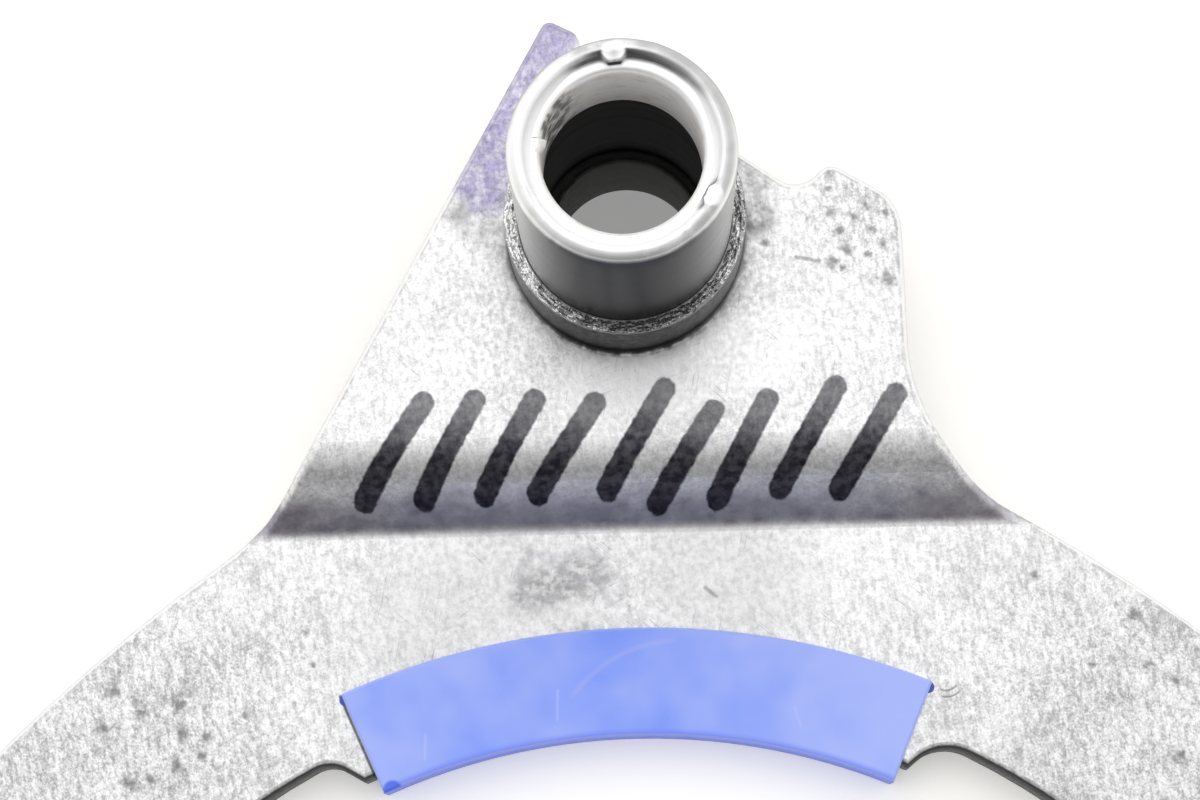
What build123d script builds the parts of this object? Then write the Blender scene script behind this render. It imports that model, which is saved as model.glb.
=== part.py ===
from build123d import *
from math import acos, atan2, cos, hypot, radians, sin, sqrt, tan
import os

# A stamped shift fork, in millimetres. The origin is on the rail axis, at the rear end of the hub.
# +Z runs along the rail axis to the near end of the hub, and +Y from the fork's mouth to the hub.

# Rail bore and hub
rail_bore = 15.0  # diameter that slides on the rail
bush_wall = 1.5
front_bush_length = 10.0
rear_bush_length = 13.0  # flush with the rear end of the tube
front_bush_recess = 1.4  # from the near end of the tube
bush_seam = 0.25  # split of the wrapped bush
bush_seam_angle = 169.0  # about the rail axis, from +X
bush_edge = 0.4
seat_step = 0.4  # shoulder that each bush is pressed against
tube_wall = 1.6
hub_length = 48.0
tube_edge = 0.7  # rounding of the tube's ends
stake_width = 2.4
stake_reach = 1.1
stake_height = 1.1
stake_angles = (93.0, 208.0, 332.0)

# Stamped plate
plate_thickness = 4.0
front_edge_radius = 0.8  # rounding that the punch leaves along the front edges
collar_wall = 1.45
collar_height = 9.3  # above the front of the upper plate
collar_root = 0.5
collar_entry = 2.5  # rounding at the back, where the collar is drawn in
rim_land = 1.6  # plate left round the collar
joggle_depth = 7.0
joggle_slope = 50.0
joggle_foot = 87.5  # height of the lower bend line above the fork centre
bend_inside = 1.5

# Outline of the upper plate, from the rail axis
horn_tip_left = (-7.8, 23.2)
horn_tip_right = (-4.4, 21.5)
horn_root_x = -3.6
valley = (17.95, 4.1)
lobe_top = (20.9, 7.3)
lobe_corner = (28.2, 2.9)
horn_corners = (1.0, 1.8)
horn_root_radius = 2.0
valley_radius = 2.9
lobe_top_radius = 1.7
lobe_corner_radius = 5.0

# The two long sides: straight, flared out by one arc, then bent back by a flatter one
left_heading = 29.1  # from straight down, outwards
left_straight_end = 8.9  # above the lower bend line
left_flare_radius = 36.0
left_flare_turn = 26.0
left_arm_radius = 177.0
left_arm_turn = 9.1
right_heading = 0.9
right_straight_end = 17.5
right_flare_radius = 19.0
right_flare_turn = 59.6
right_arm_radius = 151.0
right_arm_turn = 9.0

# Arms, about the fork centre
fork_drop = 116.6  # from the rail axis to the fork centre
arm_inner_shift = 0.6  # the mouth was punched a little to the right
arm_end_angle = 97.0
tip_width = 12.2
tip_outer_corner = 5.0
tip_inner_corner = 1.2

# Lands that the pads sit on, left standing in the mouth
land_height = 3.55  # above the mouth's arc
land_half_angle = 24.0  # of the centre one, at its edge
land_turn = -0.2
land_overhang = 1.2  # of the two tip lands past their pads, in degrees
land_lean = 35.0  # of a land's ends, making it wider at the root
notch_radius = 3.2
steep_lean = 26.0  # of the centre land's right end, where the punch left a wider scoop
scoop_radius = 4.8

# Pads
groove_radius = 66.0  # of the sleeve that the pads bear on
pad_web = 1.9
pad_depth = 11.0
pad_flange = 1.0
pad_edge = 0.25
centre_pad_half_angle = 23.0
tip_pad_half_angle = 12.0
tip_pad_angle = 82.5
peg_radius = 0.6
peg_inset = 0.65  # from the pad's outer arc
peg_end_inset = 0.1  # so the pegs stand out past the pad's ends

# Worked out
bore_radius = rail_bore / 2
bush_radius = bore_radius + bush_wall
tube_radius = bush_radius + tube_wall
collar_radius = tube_radius + collar_wall
rim_radius = collar_radius + rim_land
front_bush_low = hub_length - front_bush_recess - front_bush_length
lower_back = pad_flange
lower_front = lower_back + plate_thickness
upper_front = lower_front + joggle_depth
upper_back = upper_front - plate_thickness
collar_top = upper_front + collar_height
fork_y = -fork_drop
pad_radius = groove_radius + pad_depth
land_radius = groove_radius + pad_web
arm_inner_radius = land_radius + land_height
pad_top = lower_front + pad_flange
tip_radius = land_radius + tip_width
foot_y = fork_y + joggle_foot
head_y = foot_y + joggle_depth / tan(radians(joggle_slope))
far = 4 * pad_radius
past = plate_thickness  # how far a cutting tool runs past what it cuts


def polar(radius, angle):
    """A point at a distance from the fork centre, with the angle turned from +Y towards +X."""
    return (radius * sin(radians(angle)), fork_y + radius * cos(radians(angle)))


def sector(inner, outer, start, end, start_spread=0, end_spread=0):
    """The flat piece of ring between two radii and two angles, its outer arc spread past its ends."""
    middle = (start + end) / 2
    outer_start = polar(outer, start - start_spread)
    outer_end = polar(outer, end + end_spread)
    edges = [
        ThreePointArc(outer_start, polar(outer, middle), outer_end),
        Line(outer_end, polar(inner, end)),
        ThreePointArc(polar(inner, end), polar(inner, middle), polar(inner, start)),
        Line(polar(inner, start), outer_start),
    ]
    return make_face(edges)


def slab(face, low, high):
    """A face in the XY plane made solid between two heights."""
    return Pos(0, 0, low) * extrude(face, amount=high - low)


def ring(inner, outer, low, high):
    """A plain tube about the rail axis."""
    return slab(Circle(outer) - Circle(inner), low, high)


def rounded(sketch, point, radius):
    """A sketch with its corner nearest to a point rounded."""
    corner = sketch.vertices().sort_by_distance(Vector(*point))[0]
    return fillet(corner, radius)


def long_side(top, side, heading, straight_end, flare_radius, flare_turn, arm_radius, arm_turn):
    """One long side of the outline, from the upper plate down to the tip of its arm."""
    end_y = foot_y + straight_end
    end_x = top[0] + side * (top[1] - end_y) * tan(radians(heading))
    straight = Line(top, (end_x, end_y))
    flare = JernArc(straight @ 1, straight % 1, flare_radius, side * flare_turn)
    shoulder = JernArc(flare @ 1, flare % 1, arm_radius, -side * arm_turn)
    arm = TangentArc(shoulder @ 1, polar(tip_radius, side * arm_end_angle), tangent=shoulder % 1)
    tip = Line(arm @ 1, (0, fork_y))
    return [straight, flare, shoulder, arm, tip]


def head_corners():
    """The corners along the top of the outline, from the horn to the lobe, with their radii."""
    angle = atan2(valley[1], valley[0]) + acos(rim_radius / hypot(*valley))
    shoulder = (rim_radius * cos(angle), rim_radius * sin(angle))  # the valley's side is tangent to the rim here
    corners = [horn_tip_left, horn_tip_right, (horn_root_x, shoulder[1]), shoulder, valley, lobe_top, lobe_corner]
    return corners, [*horn_corners, 0, 0, valley_radius, lobe_top_radius, lobe_corner_radius]


def plan_outline():
    """The whole outline seen along the rail axis."""
    corners, radii = head_corners()
    left = long_side(corners[0], -1, left_heading, left_straight_end, left_flare_radius, left_flare_turn,
                     left_arm_radius, left_arm_turn)
    right = long_side(corners[-1], 1, right_heading, right_straight_end, right_flare_radius, right_flare_turn,
                      right_arm_radius, right_arm_turn)
    plan = make_face([*Polyline(*corners).edges(), *left, *right])
    for corner, radius in zip(corners, radii):
        if radius:
            plan = rounded(plan, corner, radius)
    plan += Circle(rim_radius)
    plan = rounded(plan, (horn_root_x, sqrt(rim_radius**2 - horn_root_x**2)), horn_root_radius)
    return cut_mouth(plan)


def cut_mouth(plan):
    """The outline with the fork's mouth cut out, the lands left standing and the tips rounded."""
    mouth = Pos(arm_inner_shift, fork_y) * Circle(arm_inner_radius)
    land_root = arm_inner_radius + plate_thickness
    spread, steep_spread = [
        (land_root - land_radius) * tan(radians(lean)) / radians(1) / land_root for lean in (land_lean, steep_lean)
    ]
    first, last = land_turn - land_half_angle, land_turn + land_half_angle
    tip_start = tip_pad_angle - tip_pad_half_angle - land_overhang
    mouth -= sector(land_radius, land_root, first, last, spread, steep_spread)
    mouth -= sector(land_radius, land_root, tip_start, arm_end_angle + spread, spread, spread)
    mouth -= sector(land_radius, land_root, -arm_end_angle - spread, -tip_start, spread, spread)
    plan -= mouth
    for side in (-1, 1):
        plan = rounded(plan, polar(tip_radius, side * arm_end_angle), tip_outer_corner)
        plan = rounded(plan, polar(land_radius, side * arm_end_angle), tip_inner_corner)
        plan = rounded(plan, polar(arm_inner_radius, side * (tip_start - spread / 2)), notch_radius)
    plan = rounded(plan, polar(arm_inner_radius, first - spread / 2), notch_radius)
    return rounded(plan, polar(arm_inner_radius, last + steep_spread / 2), scoop_radius)


def bent_strip():
    """The sheet's section along Y, bent down by the joggle, as wide as the whole part."""
    lean = plate_thickness * tan(radians(joggle_slope / 2))
    top, bottom = far / 2, -far
    bend_outside = bend_inside + plate_thickness
    front = FilletPolyline(
        (top, upper_front), (head_y, upper_front), (foot_y, lower_front), (bottom, lower_front),
        radius=[bend_outside, bend_inside],
    )
    back = FilletPolyline(
        (top, upper_back), (head_y + lean, upper_back), (foot_y + lean, lower_back), (bottom, lower_back),
        radius=[bend_inside, bend_outside],
    )
    ends = [Line(front @ 0, back @ 0), Line(front @ 1, back @ 1)]
    section = Plane.YZ * make_face([*front.edges(), *back.edges(), *ends])
    return extrude(section, amount=far / 2, both=True)


def front_rim_edges(plate):
    """The edges between the plate's upright cut walls and its front face."""
    chosen = []
    for wall in plate.faces():
        if abs(wall.normal_at().Z) > 0.01:
            continue
        middle = wall.center().Z
        for edge in wall.edges():
            upright = abs((edge @ 1 - edge @ 0).Z) > 0.9 * plate_thickness
            if not upright and (edge @ 0.5).Z > middle:
                chosen.append(edge)
    return chosen


def pad_angles():
    """Each pad's name, with its first and last angle about the fork centre."""
    tip_first, tip_last = tip_pad_angle - tip_pad_half_angle, tip_pad_angle + tip_pad_half_angle
    return {
        "centre_pad": (-centre_pad_half_angle, centre_pad_half_angle),
        "left_tip_pad": (-tip_last, -tip_first),
        "right_tip_pad": (tip_first, tip_last),
    }


def pegs(first, last):
    """The two round pegs that join a pad's flanges through the plate, at its outer corners."""
    radius = pad_radius - peg_inset
    inset = peg_end_inset / radians(1) / radius
    pair = [Pos(*polar(radius, angle)) * Circle(peg_radius) for angle in (first + inset, last - inset)]
    return slab(pair[0] + pair[1], lower_back, lower_front)


def collar_bore():
    """The space inside the collar, with the rounded entry that drawing leaves at the back."""
    wide, bend = tube_radius + collar_entry, upper_back + collar_entry
    middle = (wide - collar_entry * cos(radians(45)), bend - collar_entry * sin(radians(45)))
    edges = [
        Polyline((wide, upper_back), (wide, 0), (0, 0), (0, collar_top + past), (tube_radius, collar_top + past),
                 (tube_radius, bend)),
        ThreePointArc((tube_radius, bend), middle, (wide, upper_back)),
    ]
    return revolve(Plane.YZ * make_face(edges), Axis.Z)


def fork_plate():
    plate = bent_strip() & slab(plan_outline(), lower_back - past, upper_front + past)
    plate = fillet(front_rim_edges(plate), front_edge_radius)
    plate += slab(Circle(collar_radius), upper_back + collar_wall, collar_top)
    plate = fillet(circles_of(plate, collar_radius, upper_front), collar_root)
    plate -= collar_bore()
    for first, last in pad_angles().values():
        plate -= pegs(first, last)
    return plate


def circles_of(solid, radius, height):
    """The round edges of a solid about the rail axis, with a radius and at a height."""
    near = 0.01
    circles = solid.edges().filter_by(GeomType.CIRCLE)
    return [
        edge
        for edge in circles
        if abs(edge.radius - radius) < near
        and abs(edge.arc_center.Z - height) < near
        and abs(edge.arc_center.Y) < near
    ]


def hub_tube():
    """The turned tube, with a seat for each bush and its near end staked over the front one."""
    tube = ring(bush_radius - seat_step, tube_radius, 0, hub_length)
    tube -= slab(Circle(bush_radius), front_bush_low, hub_length + past)
    tube -= slab(Circle(bush_radius), -past, rear_bush_length)
    tube = fillet(circles_of(tube, tube_radius, hub_length), tube_edge)
    tube = chamfer(circles_of(tube, tube_radius, 0), tube_edge)
    for angle in stake_angles:
        tube += stake(angle)
    return tube


def stake(angle):
    """A lip of the tube's end hammered inwards over the bush, at an angle about the rail axis."""
    low = hub_length - front_bush_recess
    depth = stake_reach + tube_wall / 2
    centre_x = bush_radius - stake_reach + depth / 2
    block = Pos(centre_x, 0, low + stake_height / 2) * Box(depth, stake_width, stake_height)
    return Rot(0, 0, angle) * block


def rail_bush(low, length):
    """A wrapped bush, chamfered at its near end and with a split seam."""
    bush = ring(bore_radius, bush_radius, low, low + length)
    bush = chamfer(circles_of(bush, bore_radius, low + length), bush_edge)
    middle = (bore_radius + bush_radius) / 2
    slit = Pos(middle, 0, low + length / 2) * Box(2 * bush_wall, bush_seam, 2 * length)
    return bush - Rot(0, 0, bush_seam_angle) * slit


def pad(first, last):
    """A nylon clip: a web that bears in the groove, a flange on each face and two pegs."""
    body = slab(sector(groove_radius, pad_radius, first, last), 0, pad_top)
    body = chamfer(body.edges().filter_by(Axis.Z, reverse=True), pad_edge)
    body -= slab(sector(land_radius, pad_radius + past, first - past, last + past), lower_back, lower_front)
    return body + pegs(first, last)


pieces = {
    "fork_plate": fork_plate(),
    "hub_tube": hub_tube(),
    "front_rail_bush": rail_bush(front_bush_low, front_bush_length),
    "rear_rail_bush": rail_bush(0, rear_bush_length),
}
for name, angles in pad_angles().items():
    pieces[name] = pad(*angles)

os.makedirs("parts", exist_ok=True)
for name, piece in pieces.items():
    export_step(piece, f"parts/{name}.step")
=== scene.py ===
# %% [markdown]
# A stamped steel shift fork, dressed for a studio picture.
# The real fork is one pressed plate with two curved arms, a turned steel tube pressed through a collar in it,
# two wrapped bushes inside the tube, and pale blue nylon pads clipped over the arms.
# The solids already have the right sizes. This lesson gives them their finish: rolled steel with its stains
# and pits, a tube with hammered stakes, a torn collar edge, and moulded nylon.

# %% Load the frame
import math
import random

import bmesh
import bpy
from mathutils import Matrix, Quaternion, Vector, noise


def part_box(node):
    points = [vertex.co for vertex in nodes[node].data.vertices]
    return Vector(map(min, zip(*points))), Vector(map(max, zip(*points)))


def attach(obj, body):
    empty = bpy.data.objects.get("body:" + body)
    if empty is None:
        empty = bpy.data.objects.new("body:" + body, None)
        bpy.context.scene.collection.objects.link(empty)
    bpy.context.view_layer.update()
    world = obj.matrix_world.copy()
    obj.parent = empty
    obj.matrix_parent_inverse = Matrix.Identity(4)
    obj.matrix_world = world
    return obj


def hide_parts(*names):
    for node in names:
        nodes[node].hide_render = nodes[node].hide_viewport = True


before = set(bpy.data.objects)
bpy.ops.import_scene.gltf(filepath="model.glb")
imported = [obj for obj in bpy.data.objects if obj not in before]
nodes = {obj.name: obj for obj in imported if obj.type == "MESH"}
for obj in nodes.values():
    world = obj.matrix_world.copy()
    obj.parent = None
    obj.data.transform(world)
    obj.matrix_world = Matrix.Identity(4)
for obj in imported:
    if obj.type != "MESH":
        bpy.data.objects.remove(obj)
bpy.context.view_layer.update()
print("nodes:", sorted(nodes))

# %% [markdown]
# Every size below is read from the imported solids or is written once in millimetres, because the object is
# small. Blender works in metres, so one factor turns the one into the other.

# %% Sizes read from the frame
mm = 0.001
tube_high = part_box("hub_tube")[1]
bush_low, bush_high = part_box("front_rail_bush")

tube_radius = tube_high.x / mm
bush_radius = bush_high.y / mm
hub_length = tube_high.z / mm
front_seat = bush_low.z / mm
front_bush_top = bush_high.z / mm
rear_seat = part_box("rear_rail_bush")[1].z / mm
collar_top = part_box("fork_plate")[1].z / mm
pad_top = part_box("centre_pad")[1].z / mm
print(f"tube radius {tube_radius:.2f} mm, collar top {collar_top:.2f} mm, hub {hub_length:.2f} mm")

# %% Sizes given in millimetres
hub_axis = (0.0, 0.0)
fork_centre = (0.0, -116.6)
mouth_centre = (0.6, -116.6)
mouth_radius = 71.45
collar_radius = 12.05
lower_front = 5.0
upper_front = 12.0
joggle_foot = -29.1
joggle_head = -23.2
relief_radius = bush_radius - 0.4
rail_radius = 7.5
seam_angle = 169.0
seam_gap = 0.06

# %% [markdown]
# Materials are node trees. A few short helpers keep the recipes readable: each one adds a node, fills its
# inputs and hands back its output, so that a recipe reads like a sum.


# %% Nodes of any tree
def fill(node, inputs):
    """Puts values or links into a node's inputs, by name or number."""
    for place, value in inputs.items():
        if isinstance(value, bpy.types.NodeSocket):
            node.id_data.links.new(value, node.inputs[place])
        else:
            node.inputs[place].default_value = value


def add_node(tree, kind, inputs=None, **settings):
    """A new node with its settings, and with its inputs filled."""
    node = tree.nodes.new(kind)
    for name, value in settings.items():
        setattr(node, name, value)
    fill(node, inputs or {})
    return node


# %% A small kit for shader recipes
class Recipe:
    """One material's node tree, with short calls that add nodes and return their outputs."""

    def __init__(self, name):
        self.material = bpy.data.materials.new(name)
        self.material.use_nodes = True
        self.tree = self.material.node_tree
        self.tree.nodes.clear()
        self.surface = add_node(self.tree, "ShaderNodeBsdfPrincipled")
        self.node("OutputMaterial", {"Surface": self.surface.outputs["BSDF"]})
        self.place = self.vector("MULTIPLY", self.node("TexCoord")["Object"], (1 / mm,) * 3)[0]
        self.x, self.y, self.z = self.split(self.place)

    def node(self, kind, inputs=None, **settings):
        return add_node(self.tree, "ShaderNode" + kind, inputs, **settings).outputs

    def math(self, operation, first, second=0.0, clamp=False):
        return self.node("Math", {0: first, 1: second}, operation=operation, use_clamp=clamp)[0]

    def add(self, first, second):
        return self.math("ADD", first, second)

    def times(self, first, second):
        return self.math("MULTIPLY", first, second)

    def larger(self, first, second):
        return self.math("MAXIMUM", first, second)

    def vector(self, operation, first, second):
        """A sum with vectors. It hands back both outputs: the vector and the value."""
        return self.node("VectorMath", {0: first, 1: second}, operation=operation)

    def joined(self, *parts):
        """A vector made from its parts."""
        return self.node("CombineXYZ", dict(enumerate(parts)))[0]

    def split(self, vector):
        return self.node("SeparateXYZ", {0: vector})

    def plan(self):
        """The place in the plan, with its height left out."""
        return self.joined(self.x, self.y)

    def turned_place(self, degrees, factors):
        """The place turned about the upright axis and then stretched."""
        inputs = {"Vector": self.place, "Angle": math.radians(degrees)}
        place = self.node("VectorRotate", inputs, rotation_type="Z_AXIS")[0]
        return self.vector("MULTIPLY", place, factors)[0]

    def facing(self):
        """The three parts of the surface's own direction."""
        return self.split(self.node("NewGeometry")["Normal"])

    def from_axis(self, centre=hub_axis):
        """The distance from the hub's axis, or from another upright line, in millimetres."""
        across = self.add(self.x, -centre[0])
        along = self.add(self.y, -centre[1])
        return self.math("SQRT", self.add(self.times(across, across), self.times(along, along)))

    def ramp(self, value, low, high, start=0.0, end=1.0):
        """A smooth step: start below low, end above high."""
        inputs = dict(enumerate((value, low, high, start, end)))
        return self.node("MapRange", inputs, interpolation_type="SMOOTHSTEP")[0]

    def fade(self, value, low, high, start=1.0):
        """A smooth step down to 0."""
        return self.ramp(value, low, high, start, 0.0)

    def noise(self, size, detail=2.0, vector=None, offset=0.0, rough=0.5):
        """Cloudy noise between 0 and 1 whose lumps measure about the size, in millimetres."""
        moved = self.vector("ADD", vector or self.place, (13.0 * offset, 7.0 * offset, 3.0 * offset))[0]
        inputs = {"Vector": moved, "Scale": 1 / size, "Detail": detail, "Roughness": rough}
        return self.node("TexNoise", inputs)["Fac"]

    def ragged(self, size, detail, offset, reach, vector=None):
        """Noise about 0 that moves an outline to and fro within a reach, in millimetres."""
        return self.times(self.add(self.noise(size, detail, vector, offset), -0.5), reach)

    def patches(self, size, detail, offset, levels, results=(0.0, 1.0), rough=0.5):
        """Soft patches: noise stepped between two levels, to give two results."""
        return self.ramp(self.noise(size, detail, offset=offset, rough=rough), *levels, *results)

    def spots(self, size, radius, share, offset):
        """Soft round spots in the plan. A share of the cells, each about the size, holds one."""
        moved = self.vector("ADD", self.plan(), (offset, offset / 3, 0.0))[0]
        cells = self.node("TexVoronoi", {"Vector": moved, "Scale": 1 / size}, voronoi_dimensions="2D")
        reach = self.add(self.times(cells["Distance"], size), self.ragged(0.6, 3.0, offset, radius * 2.2))
        chosen = self.math("SUBTRACT", self.split(cells["Color"])[0], share)
        return self.times(self.fade(reach, 0.0, radius * 1.3), self.fade(chosen, -0.15, 0.02))

    def blend(self, amount, first, second, kind="MIX"):
        """A colour between two colours, or the first one tinted by the second."""
        inputs = {"Factor": amount}
        for place, colour in ((6, first), (7, second)):
            inputs[place] = opaque(colour) if isinstance(colour, tuple) else colour
        return self.node("Mix", inputs, data_type="RGBA", blend_type=kind)[2]

    def coat(self, colour, mask, paint, strength=1.0):
        """A colour with paint over it where a mask says so."""
        return self.blend(mask if strength == 1.0 else self.times(mask, strength), colour, paint)

    def finish(self, colour, roughness, metallic, bump=None, depth=0.02, edge_tint=1.0):
        fill(self.surface, {"Base Color": colour, "Roughness": roughness, "Metallic": metallic,
                            "Specular Tint": opaque(grey(edge_tint))})
        if bump is not None:
            inputs = {"Strength": 1.0, "Distance": depth * mm, "Height": bump}
            fill(self.surface, {"Normal": self.node("Bump", inputs)[0]})
        return self.material


def opaque(colour):
    return (*colour, 1.0)


def grey(value):
    return (value, value, value)


def steel(value):
    """A grey with the faint blue of bare steel."""
    return (value, value, value + 0.005)


# %% [markdown]
# A stroke of a marker pen is a capsule: every point nearer to a line than half the pen's width. Wrapping that
# distance in a node group lets one recipe serve the ticks, the scratches and the dye, which are all strokes.


# %% A node group for strokes
def stroke_group():
    group = bpy.data.node_groups.new("Distance to stroke", "ShaderNodeTree")
    for label in ("Place", "From", "To"):
        group.interface.new_socket(label, in_out="INPUT", socket_type="NodeSocketVector")
    for label in ("Distance", "Along"):
        group.interface.new_socket(label, in_out="OUTPUT", socket_type="NodeSocketFloat")
    given = add_node(group, "NodeGroupInput").outputs

    def vector(operation, inputs):
        return add_node(group, "ShaderNodeVectorMath", inputs, operation=operation).outputs

    run = vector("SUBTRACT", {0: given["To"], 1: given["From"]})[0]
    reach = vector("SUBTRACT", {0: given["Place"], 1: given["From"]})[0]
    dots = {0: vector("DOT_PRODUCT", {0: reach, 1: run})["Value"],
            1: vector("DOT_PRODUCT", {0: run, 1: run})["Value"]}
    share = add_node(group, "ShaderNodeMath", dots, operation="DIVIDE", use_clamp=True).outputs[0]
    step = vector("SCALE", {0: run, "Scale": share})[0]
    gap = vector("DISTANCE", {0: reach, 1: step})["Value"]
    add_node(group, "NodeGroupOutput", {"Distance": gap, "Along": share})
    return group


strokes = stroke_group()
print("node group:", strokes.name)


# %% Use the group in a recipe
def stroke(recipe, start, end):
    """The distance to a stroke drawn on the plan, and how far along it the nearest point lies."""
    inputs = {"Place": recipe.plan(), "From": (*start, 0.0), "To": (*end, 0.0)}
    outputs = recipe.node("Group", inputs, node_tree=strokes)
    return outputs["Distance"], outputs["Along"]


def beside(recipe, line, inner, outer, strength=1.0):
    """A mask that is full beside a line and fades between two distances from it."""
    return recipe.fade(stroke(recipe, *line)[0], inner, outer, strength)


def near(recipe, centre, radius, soft):
    """1 near a point of the plan, fading to 0 outside a radius."""
    return recipe.fade(recipe.from_axis(centre), radius, radius + soft)


# %% [markdown]
# The plate is cold rolled steel that has been tumbled. Seen close, it has a pale, salt and pepper grain,
# cloudy patches, and clusters of darker pits. Stains sit in real places: dye on the horn, grey dirt round the
# collar with painted shade at its foot, and a purple stain with painted shade on the slope of the joggle. A
# painted image could show them. Here each is a mask built from distances in the plan, in millimetres, because
# a mask stays sharp from near and is easy to move.

# %% Grain and scratches of the plate
calm_half = 18.0
battered_half = 52.0
lobe_middle = (24.0, 0.5)
# Each direction of the fine scratches, in degrees, and the offset of its noise.
scratch_ways = ((12, 21.0), (68, 22.0), (131, 23.0))


def tumbled(recipe):
    """How battered the sheet is: little beside the collar, most at the outer ends of the arms."""
    sideways = recipe.ramp(recipe.math("ABSOLUTE", recipe.x), calm_half, battered_half, 0.25, 1.0)
    below = recipe.ramp(recipe.y, joggle_foot - 14.0, joggle_foot, 1.0, 0.35)
    lobe = recipe.times(near(recipe, lobe_middle, 3.0, 5.0), 0.7)
    return recipe.larger(recipe.times(sideways, below), lobe)


def plate_grain(recipe):
    """Grain with lumps for the relief, and the same with fine salt and pepper and clouds for the colour."""
    leaning = recipe.turned_place(-8, (1.0, 0.30, 1.0))
    fine = recipe.times(recipe.noise(0.26, 2.0, rough=0.6), 0.32)
    streaks = recipe.times(recipe.noise(0.42, 2.0, leaning, offset=4.0), 0.30)
    lumps = recipe.times(recipe.noise(0.8, 4.0, offset=6.0, rough=0.6), 0.24)
    clouds = recipe.times(recipe.noise(7.0, 3.0, offset=2.0), 0.14)
    relief = recipe.add(streaks, lumps)
    return relief, recipe.add(relief, recipe.add(fine, clouds))


def dings(recipe):
    """The relief of the tumbled arms: short curved creases that lean to one side."""
    bent = recipe.noise(0.75, 4.0, recipe.turned_place(-14, (1.0, 0.5, 1.0)), offset=31.0, rough=0.6)
    return recipe.math("ABSOLUTE", recipe.add(bent, -0.5))


def scratches(recipe):
    """Fine straight scratches in three directions, each only here and there."""
    marks = 0.0
    for degrees, offset in scratch_ways:
        lines = recipe.noise(1.0, 1.0, recipe.turned_place(degrees, (4.0, 0.11, 1.0)), offset)
        thin = recipe.fade(recipe.math("ABSOLUTE", recipe.add(lines, -0.5)), 0.0, 0.012)
        gate = recipe.patches(5.0, 1.0, offset + 10, (0.54, 0.62))
        marks = recipe.larger(marks, recipe.times(thin, gate))
    return marks


# %% Pits and spots of the plate
# Where pits crowd: the middle and radius of each place, and the share of its cells that hold one.
pit_places = (((-48.0, -50.0), 6.5, 0.25), ((24.0, 0.6), 4.0, 0.25), ((43.0, -36.0), 5.0, 0.05),
              ((-60.0, -60.0), 5.0, 0.30), ((54.0, -54.0), 7.0, 0.20), ((-8.0, -34.0), 4.0, 0.20))
pits_elsewhere = 0.03
# Single pits: their places in the plan and their radii.
left_arm_pits = ((-50.6, -47.1, 1.0), (-46.9, -46.3, 1.2), (-46.3, -49.3, 0.9), (-43.9, -49.7, 0.8),
                 (-46.9, -52.8, 0.9), (-49.7, -53.8, 0.7), (-53.6, -44.9, 1.0), (-54.6, -48.6, 0.9),
                 (-44.4, -51.7, 0.6), (-51.8, -54.1, 1.0), (-33.7, -39.3, 0.5), (-32.9, -42.7, 0.5))
right_arm_pits = ((54.7, -53.8, 1.0), (40.9, -35.2, 0.6), (46.2, -44.3, 0.6), (52.2, -44.4, 0.6),
                  (54.8, -46.1, 0.6), (51.0, -39.4, 0.9))
lobe_pits = ((21.0, 6.0, 0.8), (24.6, 2.4, 0.7), (23.3, 1.4, 0.8), (25.1, 0.0, 0.6), (21.8, -0.1, 0.8),
             (21.0, 1.8, 0.7), (22.5, -2.0, 1.0), (26.2, -1.7, 0.7), (24.6, -2.7, 0.5), (26.6, -5.3, 1.1),
             (22.1, -4.0, 0.6), (26.6, 1.7, 0.5), (20.9, 4.4, 0.6), (14.2, -1.2, 0.6), (12.8, 0.7, 0.8))


def pit_mask(recipe):
    """Dark pits: few everywhere, crowded in the places where the sheet was marked."""
    crowded = pits_elsewhere
    for centre, radius, share in pit_places:
        crowded = recipe.larger(crowded, recipe.times(near(recipe, centre, radius, 4.0), share))
    large = recipe.spots(2.9, 0.80, crowded, 40.0)
    small = recipe.spots(1.2, 0.32, recipe.times(crowded, 0.45), 50.0)
    return recipe.larger(large, recipe.times(small, 0.9))


def single_pits(recipe):
    """Each pit by itself: the smallest distance to one, measured in its own radius."""
    plan = recipe.plan()
    nearest = 9.0
    for x, y, radius in left_arm_pits + right_arm_pits + lobe_pits:
        away = recipe.vector("DISTANCE", plan, (x, y, 0.0))["Value"]
        nearest = recipe.math("MINIMUM", nearest, recipe.times(away, 1 / radius))
    return recipe.fade(recipe.add(nearest, recipe.ragged(0.7, 3.0, 41.0, 2.2)), 0.05, 1.20)


print("single pits:", len(left_arm_pits + right_arm_pits + lobe_pits))

# %% Stains and painted shade of the plate
# Lines and middles in the plan. The dull places also have a radius, a soft border and a strength.
dye_line = ((-7.0, 22.4), (-14.2, 5.6))
left_smear = ((-16.6, 2.6), (-11.6, -1.2))
right_smear = ((12.4, 6.8), (13.2, 1.6))
smudge_line = ((-10.6, -35.6), (-4.6, -34.0))
# A band of painted light between the hub and the joggle.
light_band = ((-3.0, -16.6), (14.0, -12.0))
dull_places = (((-14.0, -39.0), 6.0, 16.0, 0.58), ((9.0, -34.5), 4.0, 10.0, 0.60))
drop_rings = (((-9.6, -34.2), 2.3), ((-5.2, -33.0), 1.7), ((-2.2, -35.6), 1.3))


def joggle_mask(recipe):
    """The band on the slope of the joggle, a purple stain with painted shade, dark above its foot and pale
    towards its head.
    """
    height = recipe.add(recipe.y, recipe.ragged(2.2, 3.0, 15.0, 2.0))
    above = recipe.ramp(recipe.y, joggle_foot - 0.9, joggle_foot + 0.3)
    faint = recipe.ramp(recipe.x, -38.0, -18.0, 0.04, 0.35)
    slope = recipe.ramp(height, joggle_foot + 1.8, joggle_foot + 3.8, 1.0, faint)
    below = recipe.fade(height, joggle_foot + 3.0, joggle_head + 0.4)
    return recipe.times(above, recipe.times(slope, below))


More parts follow.
